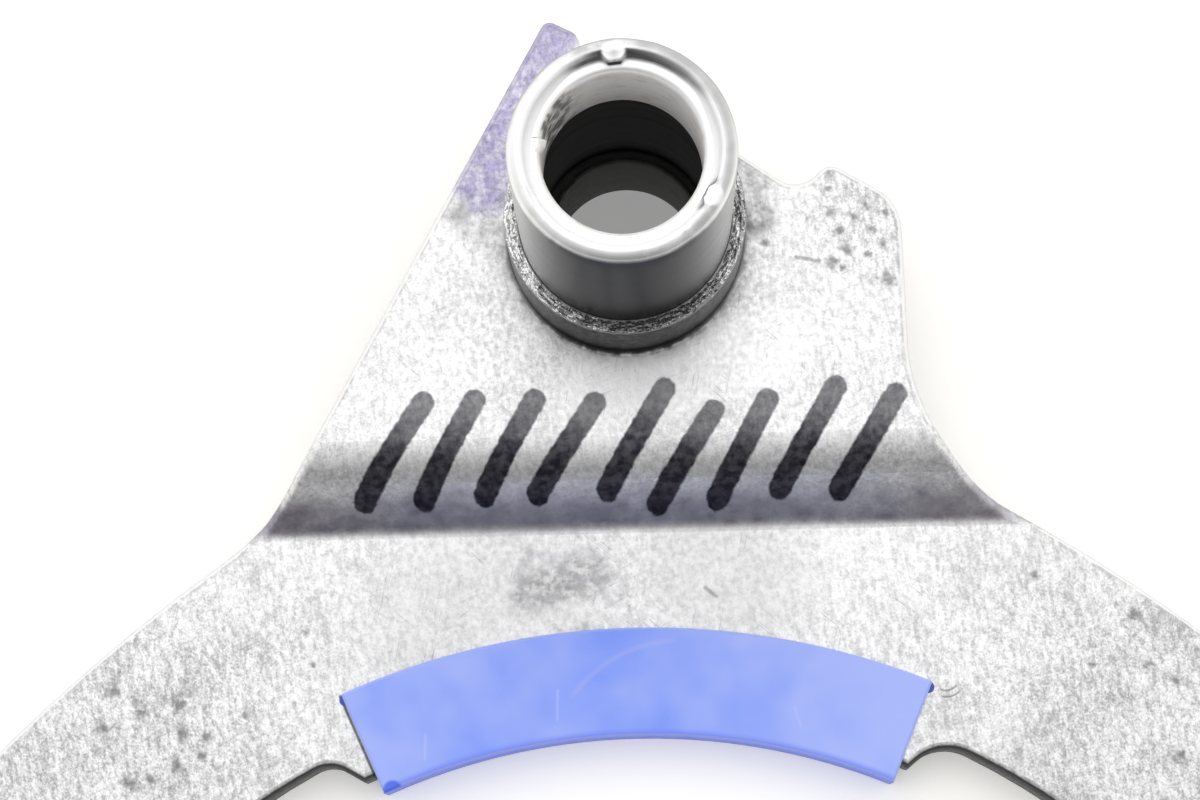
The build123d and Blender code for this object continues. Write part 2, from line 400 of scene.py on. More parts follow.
def dye_mask(recipe):
    """The violet dye along the horn, strongest beside the hub."""
    gap, along = stroke(recipe, *dye_line)
    wobble = recipe.times(recipe.noise(2.6, 3.0, offset=5.0), 3.0)
    spread = recipe.fade(recipe.add(gap, wobble), 3.4, 5.4)
    mottled = recipe.patches(1.3, 4.0, 25.0, (0.34, 0.60), (0.55, 1.0), 0.65)
    return recipe.times(spread, recipe.larger(mottled, recipe.fade(along, 0.2, 0.5, 0.85)))


def collar_foot(recipe):
    """The rounded foot of the collar, out to a ragged line on the plate."""
    out = recipe.add(recipe.from_axis(), recipe.ragged(1.1, 3.0, 47.0, 1.0))
    return recipe.fade(out, collar_radius + 0.10, collar_radius + 0.80)


def collar_grime_and_shade(recipe):
    """Grey dirt and painted shade round the foot of the collar, with a smear of dirt and painted shadow on
    each side of it.
    """
    ring = recipe.fade(recipe.from_axis(), collar_radius + 0.3, collar_radius + 2.2, 0.5)
    smears = recipe.larger(beside(recipe, left_smear, 0.6, 3.0, 0.75), beside(recipe, right_smear, 0.8, 3.6))
    patchy = recipe.add(recipe.times(recipe.patches(1.8, 3.0, 9.0, (0.35, 0.65)), 0.6), 0.4)
    spread = recipe.times(recipe.larger(ring, smears), patchy)
    return recipe.larger(recipe.times(spread, 0.78), recipe.times(collar_foot(recipe), 0.70))


def dull_patch(recipe):
    """The middle of the lower plate, a little greyer than the rest."""
    dull = 0.0
    for centre, radius, soft, strength in dull_places:
        dull = recipe.larger(dull, recipe.times(near(recipe, centre, radius, soft), strength))
    return dull


def dark_smudge(recipe):
    """A patchy grey stain under the joggle."""
    patchy = recipe.patches(1.0, 4.0, 43.0, (0.36, 0.60), (0.25, 1.0), 0.65)
    return recipe.times(beside(recipe, smudge_line, 0.6, 3.4, 0.62), patchy)


def ring_stains(recipe):
    """Rings left by drops that dried below the joggle."""
    rings = 0.0
    wobble = recipe.ragged(1.4, 2.0, 17.0, 1.6)
    for centre, radius in drop_rings:
        away = recipe.add(recipe.add(recipe.from_axis(centre), wobble), -radius)
        rings = recipe.larger(rings, recipe.fade(recipe.math("ABSOLUTE", away), 0.1, 0.7))
    return rings


# %% [markdown]
# A marker pen has left a row of plain slanted ticks along the joggle. They could be thin pieces of their
# own, but ink has no thickness, so each is a stroke in the plate's colour, with the ink a little thin where
# the pen landed and full where it stopped.

# %% Pen ticks
tick_count = 9
tick_pitch = 6.05
tick_first = -27.2
tick_lean = 5.8
tick_height = 9.6
tick_foot = joggle_foot + 2.7
tick_slip = 0.6
tick_seed = 11
pen_half = 1.15


def tick_mask(recipe):
    rng = random.Random(tick_seed)
    ink = 0.0
    wobble = recipe.ragged(0.8, 3.0, 12.0, 0.4)
    for number in range(tick_count):
        left = tick_first + number * tick_pitch + rng.uniform(-tick_slip, tick_slip)
        low = tick_foot + rng.uniform(-0.7, 0.7)
        right = left + tick_lean + rng.uniform(-tick_slip, tick_slip)
        top = low + tick_height + rng.uniform(-1.0, 0.8)
        gap, along = stroke(recipe, (right, top), (left, low))
        body = recipe.fade(recipe.add(gap, wobble), pen_half - 0.15, pen_half + 0.15)
        density = recipe.ramp(along, 0.0, 0.6, 0.80, 0.99)
        ink = recipe.larger(ink, recipe.times(body, density))
    return recipe.times(ink, recipe.patches(0.9, 3.0, 13.0, (0.3, 0.7), (0.90, 1.0)))


# %% Edges of the plate
def sheared_edge(recipe):
    """The sheared wall of the mouth, below the rolled front edge, made dark by painted shade."""
    inside = recipe.fade(recipe.from_axis(mouth_centre), mouth_radius + 0.5, mouth_radius + 1.0)
    return recipe.times(inside, recipe.fade(recipe.z, lower_front - 0.12, lower_front - 0.02, 0.95))


def torn_band(recipe, upright):
    """The lower part of the sheet's upright edges, where the metal tore after the die had cut the rest."""
    level = recipe.ramp(recipe.y, joggle_foot, joggle_head, lower_front, upper_front)
    depth = recipe.math("SUBTRACT", level, recipe.z)
    stretched = recipe.vector("MULTIPLY", recipe.place, (1.0, 1.0, 0.3))[0]
    ragged = recipe.times(recipe.noise(1.2, 3.0, stretched, offset=19.0), 1.6)
    return recipe.times(upright, recipe.ramp(recipe.math("SUBTRACT", depth, ragged), 0.3, 0.9))


# %% Colours of the plate
steel_light = steel(0.885)
steel_dark = steel(0.62)
# Battered steel, and also the painted shade in the creases.
battered_and_crease_shade = steel(0.38)
pit_colour = steel(0.17)
# Grey dirt, and also the painted shade round the collar's foot.
grime_and_shade_colour = steel(0.16)
# A broken line of painted shade on the rolled rim.
rim_shade_line = steel(0.42)
torn_colour = steel(0.40)
# A painted highlight on the rolled rim.
rim_highlight = steel(0.86)
joggle_colour = (0.37, 0.35, 0.395)
joggle_shade = (0.255, 0.236, 0.290)
joggle_blotch = (0.19, 0.175, 0.225)
dye_colour = (0.47, 0.43, 0.63)
ink_colour = (0.020, 0.017, 0.029)
# Painted shade: the shadow by the pad's end and the sheared wall of the mouth.
edge_shade_colour = (0.060, 0.060, 0.063)
collar_shade = (0.035, 0.035, 0.036)

# %% Layers of the plate's colour, from the bare sheet up
# A painted shadow along the left end of the middle pad.
pad_end_shadow = ((-30.25, -45.9), (-25.95, -55.9))
short_scratches = (((7.3, -35.6), (8.4, -36.5)), ((17.3, -2.7), (19.6, -3.2)))
# Two bowed dings beside the notch: their middle, the point where they show, and their radii.
ding_middle = (31.5, -45.3)
ding_front = (31.9, -46.8)
ding_radii = (1.35, 2.0)


def worn_sheet_light_and_shade(recipe, grain, dents):
    """The bare sheet with its grain, painted shade in its creases, a band of painted light, scratches and
    pits.
    """
    battered = recipe.blend(tumbled(recipe), steel_dark, battered_and_crease_shade)
    colour = recipe.blend(recipe.ramp(grain, 0.37, 0.59), battered, steel_light)
    # Painted shade in the creases.
    creases = recipe.times(recipe.fade(dents, 0.0, 0.024), tumbled(recipe))
    colour = recipe.coat(colour, creases, battered_and_crease_shade, 0.62)
    # A band of painted light between the hub and the joggle.
    band_light = recipe.blend(0.8, colour, grey(1.0))
    colour = recipe.coat(colour, beside(recipe, light_band, 2.5, 6.0, 0.75), band_light)
    colour = recipe.coat(colour, dull_patch(recipe), steel_dark)
    colour = recipe.coat(colour, scratches(recipe), pit_colour, 0.35)
    return recipe.coat(colour, recipe.larger(pit_mask(recipe), single_pits(recipe)), pit_colour, 0.78)


def stains_and_shade(recipe, colour):
    """Smudges, dried drops, grey dirt and painted shade round the collar, and the band of the joggle: a
    purple stain with painted shade.
    """
    colour = recipe.coat(colour, dark_smudge(recipe), grime_and_shade_colour)
    colour = recipe.coat(colour, ring_stains(recipe), joggle_colour, 0.30)
    # Grey dirt and painted shade round the collar's foot.
    colour = recipe.coat(colour, collar_grime_and_shade(recipe), grime_and_shade_colour)
    # The joggle's band: a purple stain with painted shade.
    joggle_stain_and_shade = recipe.blend(recipe.ramp(recipe.x, -36.0, -6.0), joggle_shade, joggle_colour)
    blotches = recipe.patches(1.5, 4.0, 45.0, (0.50, 0.68), (0.0, 0.55), 0.65)
    joggle_stain_and_shade = recipe.coat(joggle_stain_and_shade, blotches, joggle_blotch)
    patchy = recipe.patches(2.5, 4.0, 3.0, (0.3, 0.7), (0.55, 1.0))
    return recipe.coat(colour, recipe.times(joggle_mask(recipe), patchy), joggle_stain_and_shade, 0.95)


def edged(recipe, colour):
    """A painted highlight on the rolled rim with a broken line of painted shade along it, the dye, and the
    torn band of the upright walls.
    """
    tilt = recipe.facing()[2]
    flat_sheet = recipe.larger(recipe.ramp(recipe.y, joggle_head + 2.6, joggle_head + 3.2),
                               recipe.fade(recipe.y, joggle_foot - 1.5, joggle_foot - 1.0))
    clear = recipe.ramp(recipe.from_axis(), collar_radius + 0.8, collar_radius + 0.9)
    flat_sheet = recipe.times(flat_sheet, clear)
    # A broken line of painted shade along the rolled rim.
    line = recipe.times(recipe.fade(tilt, 0.980, 0.998), recipe.ramp(tilt, 0.88, 0.94))
    broken = recipe.times(line, recipe.patches(1.6, 4.0, 27.0, (0.38, 0.60)))
    colour = recipe.coat(colour, recipe.times(broken, flat_sheet), rim_shade_line, 0.45)
    # A painted highlight on the rolled rim.
    rim = recipe.times(recipe.fade(tilt, 0.84, 0.93), flat_sheet)
    colour = recipe.coat(colour, rim, rim_highlight, 0.9)
    colour = recipe.blend(dye_mask(recipe), colour, dye_colour, "MULTIPLY")
    upright = recipe.fade(tilt, 0.20, 0.45)
    return recipe.coat(colour, torn_band(recipe, upright), torn_colour, 0.5)


def marked(recipe, colour):
    """The ink, a painted shadow by the left end of the middle pad, the single scratches, the two dings, and
    painted shade on the wall of the mouth.
    """
    colour = recipe.coat(colour, tick_mask(recipe), ink_colour)
    # The painted shadow by the pad's left end.
    colour = recipe.coat(colour, beside(recipe, pad_end_shadow, 0.06, 0.24, 0.85), edge_shade_colour)
    for line in short_scratches:
        colour = recipe.coat(colour, beside(recipe, line, 0.05, 0.34, 0.6), pit_colour)
    for radius in ding_radii:
        bowed = recipe.math("ABSOLUTE", recipe.add(recipe.from_axis(ding_middle), -radius))
        part = recipe.times(recipe.fade(bowed, 0.04, 0.16, 0.7), near(recipe, ding_front, 0.85, 0.3))
        colour = recipe.coat(colour, part, pit_colour)
    # Painted shade on the sheared wall of the mouth.
    return recipe.coat(colour, sheared_edge(recipe), edge_shade_colour)


# %% The whole plate
def plate_steel():
    recipe = Recipe("plate_steel")
    rough_grain, grain = plate_grain(recipe)
    dents = dings(recipe)
    colour = stains_and_shade(recipe, worn_sheet_light_and_shade(recipe, grain, dents))
    colour = marked(recipe, edged(recipe, colour))
    out = recipe.from_axis()
    # Painted shade in the gap between the tube and the collar.
    gap_shade = recipe.times(recipe.fade(out, tube_radius + 0.05, tube_radius + 0.15),
                         recipe.ramp(recipe.z, collar_top - 0.4, collar_top - 0.2))
    colour = recipe.coat(colour, gap_shade, grey(0.05))
    # Painted shade on the collar's wall, darkest on the side towards the front.
    collar_wall = recipe.times(recipe.fade(recipe.z, collar_top - 0.3, collar_top - 0.1), collar_foot(recipe))
    front_shade = recipe.ramp(recipe.math("DIVIDE", recipe.y, out), -1.0, -0.35, 0.97, 0.35)
    colour = recipe.coat(colour, recipe.times(collar_wall, front_shade), collar_shade)
    roughness = recipe.patches(0.6, 1.0, 1.0, (0.3, 0.8), (0.34, 0.52))
    relief = recipe.times(dents, recipe.times(tumbled(recipe), 3.2))
    return recipe.finish(colour, roughness, 1.0, recipe.add(rough_grain, relief), 0.038, edge_tint=0.7)


# %% Dress the plate
def dress(piece, material):
    """Gives a piece one material."""
    piece.data.materials.clear()
    piece.data.materials.append(material)


plate_material = plate_steel()
dress(nodes["fork_plate"], plate_material)
print("plate material has", len(plate_material.node_tree.nodes), "nodes")

# %% [markdown]
# The hub is a turned tube with a wrapped bush pressed into each end. A lathe is the natural tool for all
# three: a profile, in radius and height, is carried round the axis. The Screw modifier does that, but only
# for a round piece, and the tube's near end is not quite round. A punch has hammered three lips of its wall
# in over the bush, and the rim between them is battered. So each profile point also says how far it follows
# such a shape, and a function of the angle gives the rest.


# %% A lathe
def in_scene(name, data):
    """A new object with its mesh, lamp or camera, linked into the scene."""
    piece = bpy.data.objects.new(name, data)
    bpy.context.scene.collection.objects.link(piece)
    return piece


def on_circle(radius, degrees):
    """The point of the plan at a radius and an angle round the hub."""
    return radius * math.cos(math.radians(degrees)), radius * math.sin(math.radians(degrees))


def turned(name, profile, shape, start=0.0, sweep=360.0, turns=360):
    """A closed piece turned about the rail axis. Shape moves a point by its angle and weight."""
    closed = sweep == 360.0
    count = turns if closed else turns + 1
    build = bmesh.new()
    rings = []
    for step in range(count):
        angle = start + sweep * step / turns
        spoke = []
        for radius, height, weight in profile:
            across, up = shape(angle, radius, height, weight) if weight else (radius, height)
            spoke.append(build.verts.new([value * mm for value in (*on_circle(across, angle), up)]))
        rings.append(spoke)
    for step in range(count if closed else count - 1):
        here, following = rings[step], rings[(step + 1) % count]
        for place in range(len(profile)):
            after = (place + 1) % len(profile)
            build.faces.new((here[place], following[place], following[after], here[after]))
    if not closed:
        build.faces.new(rings[0])
        build.faces.new(rings[-1])
    bmesh.ops.recalc_face_normals(build, faces=build.faces)
    mesh = bpy.data.meshes.new(name)
    build.to_mesh(mesh)
    build.free()
    return in_scene(name, mesh)


def corner(radius, height, size, first, last, weight=0.0, steps=6):
    """Points of a rounded corner about a centre, from one angle to another in degrees."""
    points = []
    for step in range(steps + 1):
        angle = math.radians(first + (last - first) * step / steps)
        points.append((radius + size * math.cos(angle), height + size * math.sin(angle), weight))
    return points


def smooth_by_angle(piece, degrees):
    """Smooth shading, with every edge sharper than an angle left crisp."""
    piece.data.shade_smooth()
    build = bmesh.new()
    build.from_mesh(piece.data)
    for edge in build.edges:
        edge.smooth = edge.calc_face_angle(0.0) < math.radians(degrees)
    build.to_mesh(piece.data)
    build.free()


def bump_at(away, half_width, soft):
    """1 within a half width, falling smoothly to 0 over a soft border."""
    edge = min(max((half_width - away) / soft + 0.5, 0.0), 1.0)
    return edge * edge * (3 - 2 * edge)


# %% The tube and its three stakes
# Each stake: its angle, how far it reaches in, and half its width, in degrees and millimetres.
stakes = ((93.5, 0.80, 0.95), (207.0, 0.10, 0.80), (331.0, 0.45, 0.85))
stake_sink = 0.22
tube_edge = 1.15
lip_edge = 0.45
rear_edge = 0.70
rim_dents = 0.12
rim_waves = 4.5
# Where the lip stands clear of the bush: the middle, half the width and the soft border, in degrees.
lifted_lip = (80.0, 44.0, 40.0)
crisp_edge = 40
# The lip's hollow foot on the bush: how far in, how high above the bush, and its weight.
lip_hollow = ((0.0, 0.72, 1.0), (0.09, 0.40, 1.0), (0.26, 0.19, 0.8), (0.50, 0.07, 0.6), (0.68, 0.02, 0.5))


def degrees_apart(angle, middle):
    return abs((angle - middle + 180) % 360 - 180)


def battered_rim(angle, radius, height, weight):
    """Moves a rim point inwards where a stake is, and by a little everywhere, as hammering leaves it."""
    spot = Vector((*on_circle(1.0, angle), 0.0)) * rim_waves
    waves = 0.5 + 0.5 * noise.noise(spot) + 0.2 * noise.noise(spot * 2.7)
    dent = waves * rim_dents * min(weight * 2.0, 1.0)
    middle, half_width, soft = lifted_lip
    lifted = bump_at(degrees_apart(angle, middle), half_width, soft)
    across = radius + max(bush_radius - radius, 0.0) * lifted - dent
    up = height - dent * 0.5
    for middle, reach, half_width in stakes:
        away = math.radians(degrees_apart(angle, middle)) * radius
        felt = bump_at(away, half_width, 0.8) * max(weight - 0.5, 0.0) * 2.0
        across -= reach * felt
        up -= stake_sink * felt * (1.0 + 0.7 * bump_at(away, half_width * 0.35, 0.6))
    return across, up


def tube_profile():
    """Radius, height and weight of each point, from the rear end up the outside and down the inside."""
    top, seat = hub_length, bush_radius
    wall = tube_radius - seat
    side = top - rear_edge - tube_edge
    outside = [(tube_radius - rear_edge, 0.0, 0.0)]
    outside += corner(tube_radius - rear_edge, rear_edge, rear_edge, -80, 0)
    outside += [(tube_radius, rear_edge + side * step / 24, 0.0) for step in range(1, 24)]
    outside += corner(tube_radius - tube_edge, top - tube_edge, tube_edge, 0, 90, 0.4)
    face = [(seat + lip_edge + (wall - tube_edge - lip_edge) / 2, top, 0.75)]
    lip = corner(seat + lip_edge, top - lip_edge, lip_edge, 90, 160, 1.0)
    lip += [(seat - reach, front_bush_top + height, weight) for reach, height, weight in lip_hollow]
    lip += [(seat - 0.02, front_bush_top + 0.01, 0.0)]
    bore = [(seat, front_seat, 0.0), (relief_radius, front_seat, 0.0)]
    bore += [(relief_radius, rear_seat, 0.0), (seat, rear_seat, 0.0), (seat, 0.0, 0.0)]
    return outside + face + lip + bore


tube = turned("turned_hub_tube", tube_profile(), battered_rim, turns=420)
smooth_by_angle(tube, crisp_edge)
print("tube:", len(tube.data.polygons), "faces")

# %% The two wrapped bushes
lip_radius = 0.62
tab_reach = 0.55
tab_width = 0.9


def sprung_seam(angle, radius, height, weight):
    """Near the seam, one end of the wrapped strip stands a little into the bore."""
    away = math.radians((angle - seam_angle) % 360) * radius
    return radius - tab_reach * weight * bump_at(away, tab_width, 0.8), height


def bush_profile(low, high, front):
    """A wall with a well rounded lip at its open end, and small edges elsewhere."""
    inner, outer, small, crisp = rail_radius, bush_radius, 0.3, 0.08
    profile = corner(outer - small, low + small, small, -90, 0)
    profile += corner(outer - crisp, high - crisp, crisp, 0, 90)
    profile += corner(inner + lip_radius, high - lip_radius, lip_radius, 90, 180, 1.0 * front)
    profile += [(inner, high - 1.4, 0.8 * front), (inner, high - 2.2, 0.35 * front), (inner, high - 3.2, 0.0)]
    return profile + corner(inner + small, low + small, small, 180, 270)


def wrapped_bush(name, node, low, high, front):
    half_gap = math.degrees(seam_gap / 2 / rail_radius)
    profile = bush_profile(low, high, front)
    piece = turned(name, profile, sprung_seam, seam_angle + half_gap, 360 - 2 * half_gap, 300)
    smooth_by_angle(piece, crisp_edge)
    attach(piece, "root")
    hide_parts(node)
    return piece


bushes = [wrapped_bush("front_lined_bush", "front_rail_bush", front_seat, front_bush_top, 1.0),
          wrapped_bush("rear_lined_bush", "rear_rail_bush", 0.0, rear_seat, 0.0)]
print("bushes:", [len(piece.data.polygons) for piece in bushes], "faces")

# %% [markdown]
# Turned steel carries fine rings from the cutting tool: a noise that reads only height and radius gives them
# without any image. The tube's outside is dull, with painted shade towards the pads and painted light at its
# sides. Its bore is nearly black, and its end face is mottled. The bushes are bright on their rims and lined
# inside with a grey bearing layer, worn brown in places, with painted shade on the rear bush deep in the
# bore.

# %% Steel of the tube
tube_shade = (0.14, 0.14, 0.143)
dull_shine = grey(0.34)


def ring_lines(recipe, size, offset):
    """Noise that changes along the axis and the radius, and not round the axis."""
    return recipe.noise(size, 2.0, recipe.joined(recipe.from_axis(), 0.0, recipe.z), offset)


def tube_side(recipe, rings):
    """The outside of the tube, with painted light and shade by the way it faces: dark towards the pads, white
    at left and right, grey behind, with fine rings.
    """
    towards = recipe.facing()[1]
    # Painted shade towards the pads and painted light at left and right.
    side = recipe.blend(recipe.ramp(towards, -1.0, -0.38), tube_shade, grey(1.0))
    side = recipe.coat(side, recipe.ramp(towards, 0.0, 0.5, 0.0, 0.9), steel(0.64))
    return recipe.coat(side, recipe.fade(rings, 0.3, 0.7, 0.22), grey(0.05))


def tube_face(recipe, radius, upwards):
    """The end face: mottled, with painted light at the left and painted shade at the right, a painted shadow
    in the gap beside the bush, and a painted highlight on each stake.
    """
    slanting = recipe.add(recipe.x, recipe.times(recipe.y, 0.5))
    mottle = recipe.patches(2.4, 3.0, 2.0, (0.36, 0.64), rough=0.55)
    # Painted light: the left of the face is kept bright.
    mottle = recipe.larger(mottle, recipe.fade(slanting, -6.0, 1.0, 0.85))
    face = recipe.blend(mottle, steel(0.56), steel(0.88))
    # Painted shadow in the gap between the lip and the bush, at the top.
    gap_shade = recipe.times(recipe.fade(radius, bush_radius + 0.28, bush_radius + 0.46),
                         recipe.ramp(upwards, 7.4, 8.6))
    face = recipe.coat(face, gap_shade, grey(0.05), 0.92)
    # Painted shade on the right of the face.
    face = recipe.coat(face, recipe.ramp(slanting, 4.5, 9.0), steel(0.45), 0.8)
    # A painted highlight on each stake.
    for middle, reach, half_width in stakes:
        place = on_circle(bush_radius + 0.5 - reach / 2, middle)
        stake_highlight = near(recipe, place, half_width * 0.9, 0.4)
        face = recipe.coat(face, stake_highlight, grey(1.0), min(reach * 3, 1.0))
    return face


def lip_painted_light(recipe, radius, upwards):
    """Painted light on the lip's foot over the bush, all round except at the top and at the right stake."""
    lip_light = recipe.times(recipe.fade(radius, bush_radius + 0.30, bush_radius + 0.48),
                        recipe.ramp(recipe.z, front_bush_top - 0.1, front_bush_top))
    lip_light = recipe.times(lip_light, recipe.fade(upwards, 5.6, 7.4))
    pressed = near(recipe, on_circle(bush_radius, stakes[2][0]), 1.2, 0.8)
    return recipe.math("SUBTRACT", lip_light, pressed, clamp=True)


def tube_steel():
    recipe = Recipe("hub_steel")
    radius = recipe.from_axis()
    rings = ring_lines(recipe, 0.16, 1.0)
    upwards = recipe.add(recipe.times(recipe.x, 0.21), recipe.times(recipe.y, 0.98))
    on_face = recipe.ramp(recipe.z, hub_length - 0.75, hub_length - 0.12)
    colour = recipe.coat(tube_side(recipe, rings), on_face, tube_face(recipe, radius, upwards))
    # The bore is coloured nearly black, with faint rings.
    in_bore = recipe.times(recipe.fade(radius, bush_radius + 0.02, bush_radius + 0.1),
                           recipe.fade(recipe.z, front_seat + 0.02, front_seat + 0.1))
    black_bore_rings = recipe.ramp(ring_lines(recipe, 1.2, 3.0), 0.4, 0.7)
    colour = recipe.coat(colour, in_bore, recipe.blend(black_bore_rings, grey(0.018), grey(0.045)))
    # Painted light on the lip's foot: near white, and hardly metallic there.
    lip_light = lip_painted_light(recipe, radius, upwards)
    colour = recipe.coat(colour, lip_light, grey(0.97))
    roughness = recipe.blend(in_bore, dull_shine, grey(0.65))
    metallic = recipe.math("SUBTRACT", recipe.fade(in_bore, 0.0, 1.0), recipe.times(lip_light, 0.92), clamp=True)
    return recipe.finish(colour, roughness, metallic, rings, 0.006, 0.5)


dress(tube, tube_steel())
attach(tube, "root")
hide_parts("hub_tube")

# %% Lining of the bushes
lining_grey = grey(0.95)
lining_brown = (0.86, 0.79, 0.71)
dark_patch_colour = (0.07, 0.065, 0.06)
dark_patch_angle = seam_angle - 22


def bush_lining():
    recipe = Recipe("bush_steel")
    radius = recipe.from_axis()
    rings = ring_lines(recipe, 0.5, 7.0)
    behind = recipe.fade(recipe.z, rear_seat + 1, rear_seat + 2)
    rim = recipe.blend(recipe.noise(0.9, 3.0), steel(0.86), grey(0.96))
    lining = recipe.blend(recipe.patches(1.8, 4.0, 4.0, (0.45, 0.70)), lining_grey, lining_brown)
    # Painted shade on the rear bush, deep in the bore.
    lining = recipe.coat(lining, recipe.fade(recipe.z, rear_seat + 2, front_seat, 0.80), grey(0.06))
    # The rim of the rear bush is coloured nearly black.
    rear_rim = recipe.times(recipe.ramp(radius, rail_radius + 0.1, rail_radius + 0.3), behind)
    lining = recipe.coat(lining, rear_rim, grey(0.008))
    lining = recipe.coat(lining, recipe.ramp(rings, 0.45, 0.7), grey(0.25), 0.15)
    # A dark patch on the lining.
    dark_patch = recipe.times(near(recipe, on_circle(rail_radius, dark_patch_angle), 1.4, 2.6),
                          recipe.patches(1.3, 3.0, 8.0, (0.35, 0.6)))
    lining = recipe.coat(lining, dark_patch, dark_patch_colour, 0.85)
    inside = recipe.larger(recipe.fade(radius, rail_radius + 0.12, rail_radius + 0.3), behind)
    colour = recipe.coat(rim, inside, lining)
    roughness = recipe.blend(inside, dull_shine, grey(0.6))
    return recipe.finish(colour, roughness, recipe.fade(inside, 0.0, 1.0), rings, 0.006)


bush_material = bush_lining()
for piece in bushes:
    dress(piece, bush_material)

# %% [markdown]
# Where the collar was drawn up through the plate, its end tore instead of cutting. Up close that is a crowd
# of tiny bright and dark slivers that lie along the ring. Geometry Nodes scatter them: points on a ring, a
# small stone on each, stretched along the ring and turned a little at random from a fixed seed.

# %% Scatter the torn grains
torn_sizes = {"Rows": 7, "Grains in a row": 340, "Inner radius": (tube_radius + 0.22) * mm,
              "Outer radius": (collar_radius - 0.12) * mm, "Height": (collar_top - 0.02) * mm,
              "Grain size": 0.20 * mm, "Seed": 5}
# A grain's smallest and largest half length, width and height, as shares of the grain size.
grain_least = (0.7, 0.28, 0.25)
grain_most = (2.2, 0.60, 0.55)
# How far a grain may tilt along its length and turn away from the ring, in radians.
grain_tilt = 0.25
grain_stray = 0.3


def torn_edge_tree(material):
    tree = bpy.data.node_groups.new("Torn edge", "GeometryNodeTree")
    tree.interface.new_socket("Geometry", in_out="OUTPUT", socket_type="NodeSocketGeometry")
    for label, value in torn_sizes.items():
        kind = "NodeSocketInt" if isinstance(value, int) else "NodeSocketFloat"
        tree.interface.new_socket(label, in_out="INPUT", socket_type=kind)

    def add(kind, inputs=None, **settings):
        return add_node(tree, kind, inputs, **settings).outputs

    def sum_of(operation, first, second=0.0):
        return add("ShaderNodeMath", {0: first, 1: second}, operation=operation)[0]

    def chance(low, high, seed):
        inputs = {2: low, 3: high, "Seed": sum_of("ADD", given["Seed"], seed)}
        return add("FunctionNodeRandomValue", inputs, data_type="FLOAT")[1]

    given = add("NodeGroupInput")
    count = sum_of("MULTIPLY", given["Rows"], given["Grains in a row"])
    points = add("GeometryNodePoints", {"Count": count})[0]
    index = add("GeometryNodeInputIndex")[0]
    angle = sum_of("MULTIPLY", sum_of("DIVIDE", index, given["Grains in a row"]), 2 * math.pi)
    angle = sum_of("ADD", angle, chance(0.0, 0.02, 1))
    spread = sum_of("SUBTRACT", given["Outer radius"], given["Inner radius"])
    radius = sum_of("ADD", given["Inner radius"], sum_of("MULTIPLY", spread, chance(0.0, 1.0, 2)))
    place = add("ShaderNodeCombineXYZ", {0: sum_of("MULTIPLY", radius, sum_of("COSINE", angle)),
                                         1: sum_of("MULTIPLY", radius, sum_of("SINE", angle)),
                                         2: given["Height"]})[0]
    moved = add("GeometryNodeSetPosition", {"Geometry": points, "Position": place})[0]
    stone = add("GeometryNodeMeshIcoSphere", {"Radius": 1.0, "Subdivisions": 1})["Mesh"]
    along = sum_of("ADD", sum_of("ADD", angle, math.pi / 2), chance(-grain_stray, grain_stray, 6))
    turn = add("ShaderNodeCombineXYZ", {0: chance(0.0, 2 * math.pi, 3),
                                        1: chance(-grain_tilt, grain_tilt, 4), 2: along})[0]
    size = add("FunctionNodeRandomValue", {0: grain_least, 1: grain_most}, data_type="FLOAT_VECTOR")[0]
    scale = add("ShaderNodeVectorMath", {0: size, "Scale": given["Grain size"]}, operation="SCALE")[0]
    grains = add("GeometryNodeInstanceOnPoints", {"Points": moved, "Instance": stone,
                                                  "Rotation": turn, "Scale": scale})[0]
    grains = add("GeometryNodeRealizeInstances", {0: grains})[0]
    grains = add("GeometryNodeSetMaterial", {"Geometry": grains, "Material": material})[0]
    add("NodeGroupOutput", {0: grains})
    return tree


# %% Turn the scattered grains into a plain mesh
def grown(name, tree, sizes):
    """An object grown by a Geometry Nodes tree with the sizes given, as a plain mesh."""
    seed_object = in_scene(name + "_seed", bpy.data.meshes.new(name + "_seed"))
    modifier = seed_object.modifiers.new("Grow", "NODES")
    modifier.node_group = tree
    for socket in tree.interface.items_tree:
        if socket.in_out == "INPUT" and socket.name in sizes:
            modifier[socket.identifier] = sizes[socket.name]
    depsgraph = bpy.context.evaluated_depsgraph_get()
    mesh = bpy.data.meshes.new_from_object(seed_object.evaluated_get(depsgraph))
    mesh.name = name
    bpy.data.objects.remove(seed_object)
    return in_scene(name, mesh)


def torn_steel():
    """Speckled steel with streaks along the ring, and painted light that makes it a little brighter at left
    and right, most at the left.
    """
    recipe = Recipe("torn_steel")
    # Painted light: brighter at left and right, most at the left.
    painted_side_light = recipe.times(recipe.math("ABSOLUTE", recipe.x), 0.014)
    streaks = recipe.times(recipe.add(ring_lines(recipe, 0.3, 11.0), -0.5), 0.5)
    arc = recipe.times(recipe.math("ARCTAN2", recipe.y, recipe.x), collar_radius * 0.22)
    along = recipe.joined(recipe.from_axis(), arc)
    torn_lines = recipe.ragged(0.24, 3.0, 3.0, 0.8, along)
    speckle = recipe.add(recipe.times(recipe.noise(0.26, 3.0), 0.5), torn_lines)
    tone = recipe.add(recipe.add(speckle, streaks), recipe.add(painted_side_light, recipe.times(recipe.x, -0.006)))
    colour = recipe.blend(recipe.ramp(recipe.add(tone, 0.13), 0.42, 0.68), grey(0.08), grey(1.0))
    return recipe.finish(colour, 0.30, 1.0)


torn_material = torn_steel()
torn = grown("torn_collar_edge", torn_edge_tree(torn_material), torn_sizes)
dress(torn, torn_material)
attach(torn, "root")
print("torn edge:", len(torn.data.polygons), "faces")

# %% [markdown]
# The pads are moulded nylon: one plain blue that goes slightly cloudy, a fine matt skin, and a few pale
# scratches from handling. Nylon is not metal, so the metallic input stays at zero.

